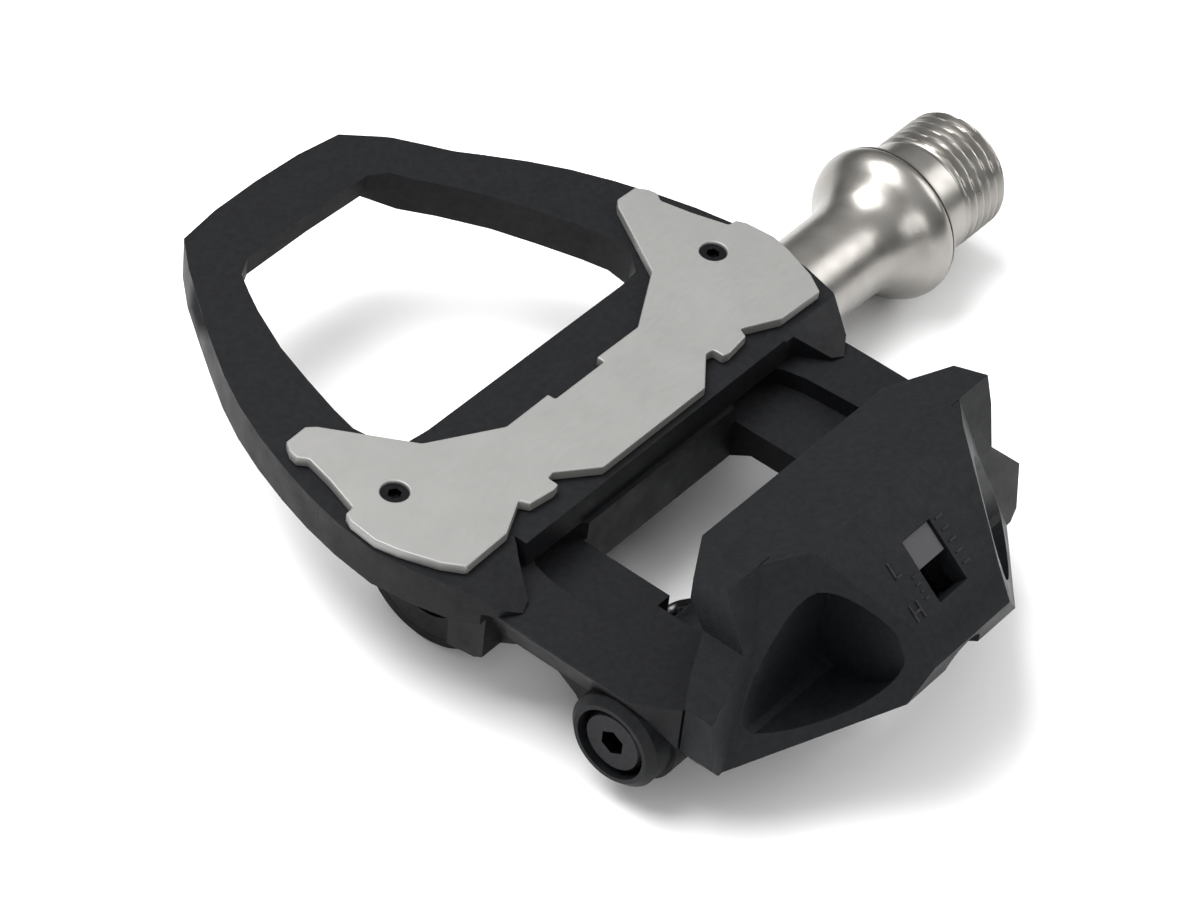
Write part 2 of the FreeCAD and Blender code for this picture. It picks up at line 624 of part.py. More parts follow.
def slab(body):
    """Wide front slab: the wings beside the lip above and the shoulders below."""
    rear = PIN_Y - D["knuckle_radius"] - 0.3
    side = [yz(LIP), on_top(-33.1), (-35.6, 11.5), (-36.4, 6.4), yz(KEEL), (rear, -2.6), (rear, 6.1),
            (-31.8, 8.3), (-28.9, 15.6), (-25.3, 15.2)]
    sketch = add_sketch(body, "slab", "YZ_Plane", (CX, 0, 0), [side])
    pad(body, "slab_pad", sketch, D["claw_half"] * 2, middle=True)
    half = D["claw_half"]
    for sign, tag in ((1, "in"), (-1, "out")):
        wing = [(sign * 21.3, FAR / 2), (sign * 21.2, 16.0), (sign * 20.4, 11.5), (sign * half, 6.3),
                (sign * FAR / 2, 6.3), (sign * FAR / 2, FAR / 2)]
        upper = add_sketch(body, "wing_" + tag, "XZ_Plane", (CX, -20, 0), [wing])
        pocket(body, "wing_cut_" + tag, upper, FAR, back=True)
        foot = [(sign * half, 0.5), (sign * 22.5, -3.5), (sign * FAR / 2, -3.5), (sign * FAR / 2, 0.5)]
        lower = add_sketch(body, "foot_" + tag, "XZ_Plane", (CX, -20, 0), [foot])
        pocket(body, "foot_cut_" + tag, lower, FAR, back=True)
        lip = D["lip_half"]
        nose = [(sign * lip, LIP.y), (sign * 21.4, -29.2), (sign * FAR / 2, -29.2),
                (sign * FAR / 2, -20), (sign * lip, -20)]
        front = add_sketch(body, "nose_" + tag, "XY_Plane", (CX, 0, FAR / 2), [nose])
        pocket(body, "nose_cut_" + tag, front, FAR)


def hook_and_hub(body):
    """Hooked lip over the cleat's tail, and the hub round the pivot pin."""
    rear = PIN_Y - D["knuckle_radius"] - 0.3
    hook = [yz(LIP), on_top(-34.0), (-36.0, 2.0), (rear, -2.6), (-30.2, -2.0), (-27.6, 4.0),
            (-29.0, 4.6), (-29.0, 9.6), (-25.7, 9.6)]
    sketch = add_sketch(body, "hook", "YZ_Plane", (CX, 0, 0), [hook])
    pad(body, "hook_pad", sketch, D["lip_half"] * 2, middle=True)
    half = D["hub_half"]
    hub = [(-half, 0), (-half, D["hub_radius"]), (half, D["hub_radius"]), (half, 0)]
    turn(body, "hub", hub, (CX, PIN_Y, PIN_Z))


def claw_rooms(body):
    """Rooms for the springs, the block and the screw; the scoops; the indicator window."""
    coil = [(-20.0, -9), (-20.0, 5.2), (-31.2, 5.2), (-31.2, 15.6), (-34.6, 16.6), (-34.6, -9)]
    sketch = add_sketch(body, "coil_room", "YZ_Plane", (CX, 0, 0), [coil])
    pocket(body, "coil_room_cut", sketch, D["coil_room_half"] * 2, middle=True)
    legs = add_sketch(body, "leg_room", "YZ_Plane", (CX, 0, 0), [block(-31.4, -20.0, 5.0, 7.4)])
    pocket(body, "leg_room_cut", legs, 9.2, middle=True)
    block_room = [(-34.0, 15.9), (-35.7, 17.4), (-44.83, 10.26), (-40.5, 5.04), (-37.4, 1.0), (-34.0, -3.0)]
    sketch = add_sketch(body, "nut_room", "YZ_Plane", (CX, 0, 0), [block_room])
    pocket(body, "nut_room_cut", sketch, D["nut_room_half"] * 2, middle=True)
    scoop = crop_corners([(-36.9, 2.9), (-36.2, 9.0), (-36.9, 16.4), (-39.6, 16.3), (-44.9, 12.2),
                          (-46.6, 8.6), (-44.6, 5.0), (-40.4, 2.9)])
    depth = 18.0
    for sign, tag in ((1, "in"), (-1, "out")):
        wall = CX + sign * D["scoop_half"]
        sketch = add_sketch(body, "scoop_" + tag, "YZ_Plane", (wall, 0, 0), [scoop])
        pocket(body, "scoop_cut_" + tag, sketch, depth, back=sign > 0)
    bore = [(-FAR, 0), (-FAR, D["pin_radius"] + 0.75), (FAR, D["pin_radius"] + 0.75), (FAR, 0)]
    turn(body, "pin_bore", bore, (CX, PIN_Y, PIN_Z), cut=True)


def slanted_sketch(body, name, spot, normal, loops=(), circles=()):
    """A sketch in the centre plane's slanted frame: its Z along normal, its X across the pedal."""
    sketch = body.newObject("Sketcher::SketchObject", "%s_%s" % (body.Name, name))
    plane = [f for f in body.Origin.OriginFeatures if f.Role == "XY_Plane"][0]
    sketch.AttachmentSupport = [(plane, "")]
    sketch.MapMode = "FlatFace"
    facing = Rotation(Vector(1, 0, 0), normal.cross(Vector(1, 0, 0)), normal, "ZXY")
    sketch.AttachmentOffset = Placement(Vector(CX.value, spot.y, spot.z), facing)
    bind(sketch, ".AttachmentOffset.Base.x", CX)
    for points in loops:
        draw_loop(sketch, points)
    for centre, radius in circles:
        draw_circle(sketch, centre, radius)
    return sketch


def claw():
    body = new_body("claw")
    hump(body)
    slab(body)
    hook_and_hub(body)
    claw_rooms(body)
    window = block(-2.25, 2.25, -3.5, 3.5)
    sketch = slanted_sketch(body, "window", WINDOW_MID + BACK_NORMAL * 3, BACK_NORMAL, [window])
    pocket(body, "window_cut", sketch, 6.0)
    end = SCREW_MID + BACK_SLOPE * FAR / 2
    for name, radius, stop in (("screw_hole", D["screw_radius"] + 0.15, SHANK_STOP),
                               ("screw_seat", D["screw_head_radius"] + 0.2, HEAD_STOP)):
        sketch = slanted_sketch(body, name, end, BACK_SLOPE, circles=[((0, 0), radius)])
        pocket(body, name + "_cut", sketch, FAR / 2 - stop)
    return body


# ---------------------------------------------------------------- pivot pin, nut, bushes, washers
def pivot_parts():
    far, thick = D["boss_out"] - 0.4, D["head_thick"]
    head, pin = D["head_radius"], D["pin_radius"]
    place = (CX, PIN_Y, PIN_Z)
    bolt = new_body("pivot_pin")
    turn(bolt, "outline", [(-far, 0), (-far, head - 0.4), (-far + 0.4, head), (-far + thick, head),
                           (-far + thick, pin), (14.0, pin), (14.0, 1.7), (24.0, 1.7), (24.0, 0)], place)
    end_hexagon(bolt, "socket", CX - far, 2.5, 1.8, (PIN_Y, PIN_Z), inward=1)
    sleeve = new_body("pivot_nut")
    turn(sleeve, "outline", [(far, 0), (far, head - 0.4), (far - 0.4, head), (far - thick, head),
                             (far - thick, pin), (14.4, pin), (14.4, 1.75), (24.4, 1.75), (24.4, 0)], place)
    end_hexagon(sleeve, "socket", CX + far, 2.5, 1.8, (PIN_Y, PIN_Z))
    pieces = [bolt, sleeve]
    for name, left, right, inner, outer in (
            ("pivot_bushes", D["bush_in"], D["hub_half"], pin + 0.04, pin + 0.75),
            ("pivot_washers", D["hub_half"] + 0.05, D["knuckle_in"], pin + 0.04, 5.2)):
        group = doc.addObject("Part::Compound", name)
        group.Label = name
        group.Links = [ring_body(name + "_in", left, right, inner, outer, place),
                       ring_body(name + "_out", -right, -left, inner, outer, place)]
        pieces.append(group)
    return pieces


# ---------------------------------------------------------------- tension screw, block and plate
def tension_parts():
    """The screw along the claw's back, the block it draws, the clip and the plate on the springs."""
    middle, down, shank = SCREW_MID, BACK_SLOPE, D["screw_radius"]
    start = middle - down * 3.4

    def slanted_pad(body, name, spot, length, loops=(), circles=()):
        pad(body, name + "_pad", slanted_sketch(body, name, spot, down, loops, circles), length)

    screw = new_body("tension_screw")
    slanted_pad(screw, "shank", middle - down * 5.0, HEAD_STOP + 5.0, circles=[((0, 0), shank)])
    slanted_pad(screw, "head", middle + down * HEAD_STOP, 1.7, circles=[((0, 0), D["screw_head_radius"])])
    socket = slanted_sketch(screw, "socket", middle + down * (HEAD_STOP + 1.7), down, [hexagon(2.5)])
    pocket(screw, "socket_cut", socket, 1.3)
    nut = new_body("tension_block")
    slanted_pad(nut, "block", start, 3.2, [block(-2.05, 2.05, -2.6, 4.2)], [((0, 0), shank + 0.05)])
    clip = new_body("screw_clip")
    slanted_pad(clip, "clip", middle + down * 3.8, 0.6, circles=[((0, 0), 2.1), ((0, 0), shank)])
    plate = new_body("spring_plate")
    slanted_pad(plate, "plate", start, 3.2, [block(-5.6, 5.6, -4.2, -2.65)])
    return [screw, nut, clip, plate]


# ---------------------------------------------------------------- torsion springs
def tangent_angle(spot, radius, side):
    """Angle on the coil's circle where the straight line to spot (y, z) touches it."""
    dy, dz = spot[0] - PIN_Y.value, spot[1] - PIN_Z.value
    return math.atan2(dz, dy) + side * math.acos(radius / math.hypot(dy, dz))


def rod(name, start, end):
    """Straight piece of the spring's wire."""
    stick = doc.addObject("Part::Cylinder", name)
    bind(stick, "Radius", D["wire_radius"] - 0.05)
    stick.Height = (end - start).Length
    stick.Placement = Placement(start, Rotation(Vector(0, 0, 1), end - start))
    return stick


def torsion_spring(tag, sign):
    """Closely wound coil round the pivot pin; one leg bears on the spring plate, one under the arm."""
    turns, radius, wire = int(D["coil_turns"].value), D["coil_radius"], D["wire_radius"]
    near, far = 2.9, D["coil_room_half"].value - 0.9
    name = "torsion_spring_" + tag
    outer, groove, pitch = radius + wire, radius + wire * 0.45, (far - near) / turns
    profile = [(sign * (near - wire.value), radius - wire), (sign * (near - wire.value), outer)]
    for i in range(turns):
        middle = near + pitch * (i + 0.5)
        profile += [(sign * (middle - 0.5), outer), (sign * middle, groove), (sign * (middle + 0.5), outer)]
    profile += [(sign * (far + wire.value), outer), (sign * (far + wire.value), radius - wire)]
    coil = new_body(name + "_coil")
    turn(coil, "windings", profile, (CX, PIN_Y, PIN_Z))
    grip = SCREW_MID + BACK_SLOPE * (wire.value + 0.35) - BACK_NORMAL * 3.4
    foot = Vector(0, -19.5, D["arm_base_z"].value - 2.15)
    grip.x, foot.x = CX.value + sign * near, CX.value + sign * far
    touch = []
    for spot, side in ((grip, -1), (foot, 1)):
        angle = tangent_angle(yz(spot), radius.value, side)
        touch.append(Vector(spot.x, PIN_Y.value + radius.value * math.cos(angle),
                            PIN_Z.value + radius.value * math.sin(angle)))
    corner = doc.addObject("Part::Sphere", name + "_corner")
    bind(corner, "Radius", wire)
    corner.Placement = Placement(foot, Rotation())
    tip = foot + Vector(sign * 5.6, 0, 0)
    spring = doc.addObject("Part::MultiFuse", name)
    spring.Label = name
    spring.Shapes = [coil, rod(name + "_grip", touch[0], grip), rod(name + "_down", touch[1], foot),
                     corner, rod(name + "_foot", foot, tip)]
    return spring


def check_and_write(nodes):
    """Stop on any failed object or bad shape, then write one STEP file per node."""
    doc.recompute()
    for obj in doc.Objects:
        if "Invalid" in obj.State or "Error" in obj.State:
            raise ValueError("%s failed" % obj.Name)
    for node in nodes:
        if node.Shape.isNull() or not node.Shape.isValid():
            raise ValueError("%s has a bad shape" % node.Label)
    for node in nodes:
        shape = node.Shape
        shape.exportStep("parts/%s.step" % node.Label)
        box = shape.BoundBox
        print("%-28s %8.1f  solids %d  x %.1f..%.1f y %.1f..%.1f z %.1f..%.1f" % (
            node.Label, shape.Volume, len(shape.Solids), box.XMin, box.XMax,
            box.YMin, box.YMax, box.ZMin, box.ZMax))


made = [pedal_body(), contact_plate(), plate_screws(), claw()]
made += spindle_parts() + bearings() + pivot_parts() + tension_parts() + [
    torsion_spring("out", -1), torsion_spring("in", 1)]
check_and_write(made)
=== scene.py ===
import json
import math

import bmesh
import bpy
from mathutils import Matrix, Vector


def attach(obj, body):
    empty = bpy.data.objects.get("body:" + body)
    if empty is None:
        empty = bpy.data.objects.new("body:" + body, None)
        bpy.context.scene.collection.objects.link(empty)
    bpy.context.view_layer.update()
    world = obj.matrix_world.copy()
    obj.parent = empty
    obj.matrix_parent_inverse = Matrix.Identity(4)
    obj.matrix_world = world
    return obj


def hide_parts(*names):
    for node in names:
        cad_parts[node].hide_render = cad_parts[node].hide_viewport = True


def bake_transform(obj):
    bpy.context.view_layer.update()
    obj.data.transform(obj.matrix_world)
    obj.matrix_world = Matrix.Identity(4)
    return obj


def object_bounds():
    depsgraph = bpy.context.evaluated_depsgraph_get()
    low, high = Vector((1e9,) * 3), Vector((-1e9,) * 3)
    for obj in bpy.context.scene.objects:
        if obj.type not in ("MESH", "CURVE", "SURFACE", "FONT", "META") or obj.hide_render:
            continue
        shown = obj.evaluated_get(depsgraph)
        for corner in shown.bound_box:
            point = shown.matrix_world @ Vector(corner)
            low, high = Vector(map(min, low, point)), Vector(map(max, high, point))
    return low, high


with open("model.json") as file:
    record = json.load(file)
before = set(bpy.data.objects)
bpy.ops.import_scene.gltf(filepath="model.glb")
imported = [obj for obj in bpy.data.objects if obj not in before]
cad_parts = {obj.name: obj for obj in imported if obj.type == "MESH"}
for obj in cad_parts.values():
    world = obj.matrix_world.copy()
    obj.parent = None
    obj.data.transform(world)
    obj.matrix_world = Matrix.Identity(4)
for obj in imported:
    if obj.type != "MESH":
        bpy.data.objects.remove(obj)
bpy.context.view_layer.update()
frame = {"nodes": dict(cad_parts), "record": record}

MM = 0.001
CENTRE_X = -53.86 * MM
PIN_Y, PIN_Z = -27.0 * MM, -1.0 * MM
NODES = frame["nodes"]
BODIES = frame["record"]["behaviour"]["bodies"]
BODY_OF = {node: body for body, nodes in BODIES.items() for node in nodes}
SLOT_OF = {part["node"]: part["material_slot"] for part in frame["record"]["subparts"]}


# ---------------------------------------------------------------- material building blocks
NOISE_LOW, NOISE_HIGH = 0.3, 0.7  # the part of its 0 to 1 range that a noise really fills


class Finish:
    """A procedural material under construction."""

    def __init__(self, name, colour, roughness, metallic=0.0):
        self.material = bpy.data.materials.new(name)
        self.material.use_nodes = True
        self.tree = self.material.node_tree
        self.shader = self.tree.nodes["Principled BSDF"]
        self.shader.inputs["Base Color"].default_value = (*colour, 1)
        self.shader.inputs["Roughness"].default_value = roughness
        self.shader.inputs["Metallic"].default_value = metallic
        self.height = None

    def node(self, kind):
        return self.tree.nodes.new(kind)

    def link(self, source, target):
        self.tree.links.new(source, target)

    def place(self, scale=(1, 1, 1)):
        """Object coordinates, stretched."""
        where = self.node("ShaderNodeTexCoord")
        mapping = self.node("ShaderNodeMapping")
        mapping.inputs["Scale"].default_value = scale
        self.link(where.outputs["Object"], mapping.inputs["Vector"])
        return mapping.outputs["Vector"]

    def noise(self, scale, detail=3.0, rough=0.55, stretch=(1, 1, 1)):
        """Cloudy value between 0 and 1; a larger scale is a finer grain."""
        texture = self.node("ShaderNodeTexNoise")
        texture.inputs["Scale"].default_value = scale
        texture.inputs["Detail"].default_value = detail
        texture.inputs["Roughness"].default_value = rough
        self.link(self.place(stretch), texture.inputs["Vector"])
        return texture.outputs["Fac"]

    def pits(self, scale):
        """Distance to the middle of small random cells."""
        texture = self.node("ShaderNodeTexVoronoi")
        texture.inputs["Scale"].default_value = scale
        self.link(self.place(), texture.inputs["Vector"])
        return texture.outputs["Distance"]

    def ranged(self, value, low, high, out_low, out_high):
        """The value, with low to high spread over out_low to out_high."""
        spread = self.node("ShaderNodeMapRange")
        limits = {"From Min": low, "From Max": high, "To Min": out_low, "To Max": out_high}
        for key, number in limits.items():
            spread.inputs[key].default_value = number
        self.link(value, spread.inputs["Value"])
        return spread.outputs["Result"]

    def colour_from(self, value, stops):
        """Base colour blended between stops of (value, colour)."""
        ramp = self.node("ShaderNodeValToRGB")
        elements = ramp.color_ramp.elements
        while len(elements) < len(stops):
            elements.new(0.5)
        for element, (position, colour) in zip(elements, stops):
            element.position = position
            element.color = (*colour, 1)
        self.link(value, ramp.inputs["Fac"])
        self.link(ramp.outputs["Color"], self.shader.inputs["Base Color"])

    def roughness_from(self, value, low, high):
        spread = self.ranged(value, NOISE_LOW, NOISE_HIGH, low, high)
        self.link(spread, self.shader.inputs["Roughness"])

    def bump(self, value, strength, distance):
        """Relief of a depth in metres, laid over any relief already there."""
        relief = self.node("ShaderNodeBump")
        relief.inputs["Strength"].default_value = strength
        relief.inputs["Distance"].default_value = distance
        self.link(value, relief.inputs["Height"])
        if self.height is not None:
            self.link(self.height, relief.inputs["Normal"])
        self.height = relief.outputs["Normal"]
        self.link(self.height, self.shader.inputs["Normal"])


DULL_GLOSS = 0.15  # specular level of the composite; plain plastic has 0.5


def moulded_composite(name, dark, light, low, high):
    """Black nylon: a fine even grain, with a faint slow change of shade."""
    finish = Finish(name, dark, low)
    finish.colour_from(finish.noise(1400, 3, 0.5), [(0.35, dark), (0.65, light)])
    finish.roughness_from(finish.noise(320, 3, 0.5), low, high)
    finish.bump(finish.noise(5200, 2, 0.5), 0.22, 0.00008)
    finish.bump(finish.pits(2600), 0.08, 0.00006)
    finish.shader.inputs["Specular IOR Level"].default_value = DULL_GLOSS
    return finish.material


def blasted_sheet(name):
    """Bead-blasted stainless sheet with faint handling marks."""
    finish = Finish(name, (0.29, 0.288, 0.28), 0.5, 0.6)
    stops = [(0.3, (0.272, 0.270, 0.262)), (0.7, (0.292, 0.290, 0.282))]
    finish.colour_from(finish.noise(160, 3), stops)
    finish.roughness_from(finish.noise(2400, 3, 0.6, (0.3, 1.6, 1.6)), 0.46, 0.56)
    finish.bump(finish.noise(4200, 2), 0.06, 0.00004)
    return finish.material


def turned_steel(name, colour, low, high):
    """Steel turned about the X axis: faint fine rings and a slow change of shade."""
    finish = Finish(name, colour, low, 1.0)
    tint = [tuple(c * 0.84 for c in colour), colour]
    finish.colour_from(finish.noise(140, 3, 0.5, (1.5, 0.6, 0.6)), list(zip((0.3, 0.7), tint)))
    finish.roughness_from(finish.noise(420, 3, 0.5), low, high)
    finish.bump(finish.noise(1500, 1, 0.4, (1.0, 0.0, 0.0)), 0.03, 0.00003)
    return finish.material


def oiled_metal(name, colour, low, high, metallic=1.0):
    """Small fittings: blackened, plated or bronze, with a slightly uneven surface."""
    finish = Finish(name, colour, low, metallic)
    finish.colour_from(finish.noise(1500, 4), [(0.32, tuple(c * 0.7 for c in colour)), (0.7, colour)])
    finish.roughness_from(finish.noise(2600, 4), low, high)
    finish.bump(finish.pits(5200), 0.05, 0.00006)
    return finish.material


def rubber(name, colour):
    """Matt seal rubber with a fine pitted grain."""
    finish = Finish(name, colour, 0.7)
    finish.colour_from(finish.noise(900, 4), [(0.35, colour), (0.75, tuple(c * 1.8 for c in colour))])
    finish.roughness_from(finish.noise(1800, 3), 0.62, 0.82)
    finish.bump(finish.pits(4200), 0.1, 0.0001)
    return finish.material


def smooth_moulding(name, colour, low, high):
    """Unfilled plastic with a soft sheen: the bearing cages and the indicator block."""
    finish = Finish(name, colour, low)
    finish.colour_from(finish.noise(800, 3), [(0.3, tuple(c * 0.88 for c in colour)), (0.7, colour)])
    finish.roughness_from(finish.noise(1600, 3), low, high)
    finish.bump(finish.noise(3000, 3), 0.08, 0.0001)
    return finish.material


def make_finishes():
    """One material for each slot of the record, and one for the marks on the claw."""
    return {
        "body_black": moulded_composite(
            "body_black", (0.0040, 0.0043, 0.0052), (0.0066, 0.0070, 0.0080), 0.46, 0.60),
        "claw_black": moulded_composite(
            "claw_black", (0.0046, 0.0052, 0.0064), (0.0074, 0.0080, 0.0092), 0.42, 0.56),
        "cap_plastic": moulded_composite(
            "cap_plastic", (0.005, 0.005, 0.006), (0.009, 0.009, 0.010), 0.42, 0.55),
        "plate_steel": blasted_sheet("plate_steel"),
        "spindle_steel": turned_steel("spindle_steel", (0.30, 0.288, 0.27), 0.27, 0.36),
        "bearing_steel": turned_steel("bearing_steel", (0.76, 0.76, 0.78), 0.08, 0.16),
        "dark_steel": oiled_metal("dark_steel", (0.020, 0.020, 0.022), 0.30, 0.44),
        "zinc_steel": oiled_metal("zinc_steel", (0.56, 0.56, 0.57), 0.26, 0.4),
        "spring_steel": oiled_metal("spring_steel", (0.09, 0.09, 0.095), 0.28, 0.42),
        "bronze": oiled_metal("bronze", (0.55, 0.38, 0.20), 0.3, 0.46),
        "rubber_black": rubber("rubber_black", (0.012, 0.012, 0.012)),
        "cage_plastic": smooth_moulding("cage_plastic", (0.52, 0.46, 0.35), 0.4, 0.55),
        "marks": moulded_composite(
            "marks", (0.012, 0.012, 0.013), (0.018, 0.018, 0.019), 0.30, 0.40),
        "indicator": smooth_moulding("indicator", (0.030, 0.030, 0.033), 0.34, 0.46),
    }


FINISHES = make_finishes()


def wear(obj, slot, finish=None):
    """Give the piece one finish on all its faces: its slot's own, unless another is named."""
    obj.data.materials.clear()
    obj.data.materials.append(FINISHES[finish or slot])


# ---------------------------------------------------------------- mesh helpers
SHARP = math.radians(24)  # an edge that turns more than this gets a small radius
FLAT = math.radians(0.6)  # faces that turn less than this become one face
WELD, FINE_WELD = 2e-6, 1e-6  # points closer than this, in metres, become one
NORMALS_WEIGHT = 80  # over 50, large faces rule the shading of the narrow ones


def add_piece(name, mesh, slot, body=None, finish=None):
    """A new piece from the mesh; it rides the body, if one is given."""
    obj = bpy.data.objects.new(name, mesh)
    bpy.context.scene.collection.objects.link(obj)
    wear(obj, slot, finish)
    if body:
        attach(obj, body)
    return obj


def plain_mesh(obj, name):
    """The object's evaluated shape as a mesh of its own; the object is removed."""
    graph = bpy.context.evaluated_depsgraph_get()
    mesh = bpy.data.meshes.new_from_object(obj.evaluated_get(graph))
    mesh.name = name
    mesh.transform(obj.matrix_world)
    bpy.data.objects.remove(obj)
    return mesh


def eased_copy(node, width, segments):
    """The node's own shape with a small radius on its sharp edges."""
    mesh = NODES[node].data.copy()
    shape = bmesh.new()
    shape.from_mesh(mesh)
    bmesh.ops.remove_doubles(shape, verts=shape.verts, dist=WELD)
    bmesh.ops.dissolve_limit(shape, angle_limit=FLAT, verts=shape.verts, edges=shape.edges)
    sharp = [e for e in shape.edges if len(e.link_faces) == 2 and e.calc_face_angle(0) > SHARP]
    bmesh.ops.bevel(shape, geom=sharp, offset=width, segments=segments, profile=0.5, affect="EDGES",
                    clamp_overlap=True, miter_outer="ARC")
    bmesh.ops.remove_doubles(shape, verts=shape.verts, dist=FINE_WELD)
    for face in shape.faces:
        face.smooth = True
    shape.to_mesh(mesh)
    shape.free()
    obj = bpy.data.objects.new(node + "_shape", mesh)
    bpy.context.scene.collection.objects.link(obj)
    normals = obj.modifiers.new("normals", "WEIGHTED_NORMAL")
    normals.keep_sharp = True
    normals.weight = NORMALS_WEIGHT
    return plain_mesh(obj, node + "_skin")


def ease_node(node, width, segments=3):
    """Put the eased copy in the node's place."""
    skin = eased_copy(node, width, segments)
    piece = add_piece(node + "_skin", skin, SLOT_OF[node], BODY_OF[node])
    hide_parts(node)
    return piece


# ---------------------------------------------------------------- marks beside the claw's window
WINDOW_SPOT = Vector((CENTRE_X, -42.7 * MM, 14.888 * MM))
UP_SLOPE = Vector((0, 0.77137, 0.63638))  # the claw's back rises 8.25 in 10
OUT_OF_BACK = Vector((0, -0.63638, 0.77137))
RIB_HEIGHT = 0.24 * MM


def ribs_tree():
    """Node group: a row of equal ribs along Y, centred on the origin."""
    tree = bpy.data.node_groups.new("rib_row", "GeometryNodeTree")
    face = tree.interface
    face.new_socket("Count", in_out="INPUT", socket_type="NodeSocketInt")
    for name in ("Spacing", "Length", "Width", "Height"):
        face.new_socket(name, in_out="INPUT", socket_type="NodeSocketFloat")
    face.new_socket("Finish", in_out="INPUT", socket_type="NodeSocketMaterial")
    face.new_socket("Geometry", in_out="OUTPUT", socket_type="NodeSocketGeometry")
    given = tree.nodes.new("NodeGroupInput").outputs
    row = tree.nodes.new("GeometryNodeMeshLine")
    step = tree.nodes.new("ShaderNodeCombineXYZ")
    rib = tree.nodes.new("GeometryNodeMeshCube")
    size = tree.nodes.new("ShaderNodeCombineXYZ")
    spread = tree.nodes.new("GeometryNodeInstanceOnPoints")
    real = tree.nodes.new("GeometryNodeRealizeInstances")
    coat = tree.nodes.new("GeometryNodeSetMaterial")
    result = tree.nodes.new("NodeGroupOutput").inputs
    for source, target in (
            (given["Count"], row.inputs["Count"]), (given["Spacing"], step.inputs["Y"]),
            (step.outputs["Vector"], row.inputs["Offset"]), (given["Length"], size.inputs["X"]),
            (given["Width"], size.inputs["Y"]), (given["Height"], size.inputs["Z"]),
            (size.outputs["Vector"], rib.inputs["Size"]),
            (row.outputs["Mesh"], spread.inputs["Points"]),
            (rib.outputs["Mesh"], spread.inputs["Instance"]),
            (spread.outputs["Instances"], real.inputs["Geometry"]),
            (real.outputs["Geometry"], coat.inputs["Geometry"]),
            (given["Finish"], coat.inputs["Material"]),
            (coat.outputs["Geometry"], result["Geometry"])):
        tree.links.new(source, target)
    return tree


def rib_row(tree, count, spacing, length, width, first):
    """Mesh of one row of ribs on the claw's back, in mm; first is where its first rib lies,
    across and up the slope from the window's middle."""
    obj = bpy.data.objects.new("rib_row", bpy.data.meshes.new("rib_row"))
    bpy.context.scene.collection.objects.link(obj)
    modifier = obj.modifiers.new("rows", "NODES")
    modifier.node_group = tree
    wanted = {"Count": count, "Spacing": spacing * MM, "Length": length * MM, "Width": width * MM,
              "Height": RIB_HEIGHT, "Finish": FINISHES["marks"]}
    for item in tree.interface.items_tree:
        if item.in_out == "INPUT":
            modifier[item.identifier] = wanted[item.name]
    mesh = plain_mesh(obj, "rib_row")
    turn = Matrix((Vector((1, 0, 0)), UP_SLOPE, OUT_OF_BACK)).transposed().to_4x4()
    spot = WINDOW_SPOT + Vector((first[0] * MM, 0, 0)) + UP_SLOPE * first[1] * MM
    mesh.transform(Matrix.Translation(spot) @ turn)
    return mesh


def claw_marks():
    """Five ticks on one side of the window, four small ones and the letters L and H on the other."""
    tree = ribs_tree()
    low, high = (-4.9, 1.9), (-5.3, -2.7)
    # each row is (ribs, spacing, length, width, place of the first rib)
    ticks = [(5, -1.3, 0.95, 0.22, (3.35, 3.1)), (4, -0.8, 0.55, 0.18, (-3.35, 0.1))]
    letter_l = [(1, 0, 0.24, 1.8, (low[0] - 0.45, low[1])),
                (1, 0, 0.95, 0.24, (low[0] - 0.1, low[1] - 0.8))]
    letter_h = [(1, 0, 0.24, 1.8, (high[0] - 0.55, high[1])),
                (1, 0, 0.24, 1.8, (high[0] + 0.55, high[1])),
                (1, 0, 0.9, 0.24, high)]
    shape = bmesh.new()
    for count, spacing, length, width, first in ticks + letter_l + letter_h:
        shape.from_mesh(rib_row(tree, count, spacing, length, width, first))
    mesh = bpy.data.meshes.new("claw_marks")
    shape.to_mesh(mesh)
    shape.free()
    add_piece("claw_marks", mesh, "claw_black", "claw", "marks")


# ---------------------------------------------------------------- spindle with its helical thread
THREAD_START, THREAD_END = 4.5, 12.6  # mm from the shoulder
PITCH, CREST, ROOT, LAND = 1.27, 7.12, 6.45, 7.02  # mm; the last three are radii
KEY_SIZE = 8.0  # mm across the flats of the socket


def skin_rows(name, rows, count):
    """Closed mesh through rings about X, in mm; each row is (x, radius), where the radius may also
    be a function of the angle."""
    shape = bmesh.new()
    rings = []
    for x, radius in rows:
        ring = []
        for i in range(count):
            angle = 2 * math.pi * i / count
            reach = radius(angle) if callable(radius) else radius
            spot = (x * MM, reach * MM * math.cos(angle), reach * MM * math.sin(angle))
            ring.append(shape.verts.new(spot))
        rings.append(ring)
    for near, far in zip(rings, rings[1:]):
        for i in range(count):
            j = (i + 1) % count
            shape.faces.new((near[i], near[j], far[j], far[i]))
    for ring, x in ((rings[0], rows[0][0]), (rings[-1], rows[-1][0])):
        pole = shape.verts.new((x * MM, 0, 0))
        for i in range(count):
            shape.faces.new((ring[i], ring[(i + 1) % count], pole))
    bmesh.ops.recalc_face_normals(shape, faces=shape.faces)
    for face in shape.faces:
        face.smooth = True
    mesh = bpy.data.meshes.new(name)
    shape.to_mesh(mesh)
    shape.free()
    mesh.set_sharp_from_angle(angle=math.radians(32))
    return mesh


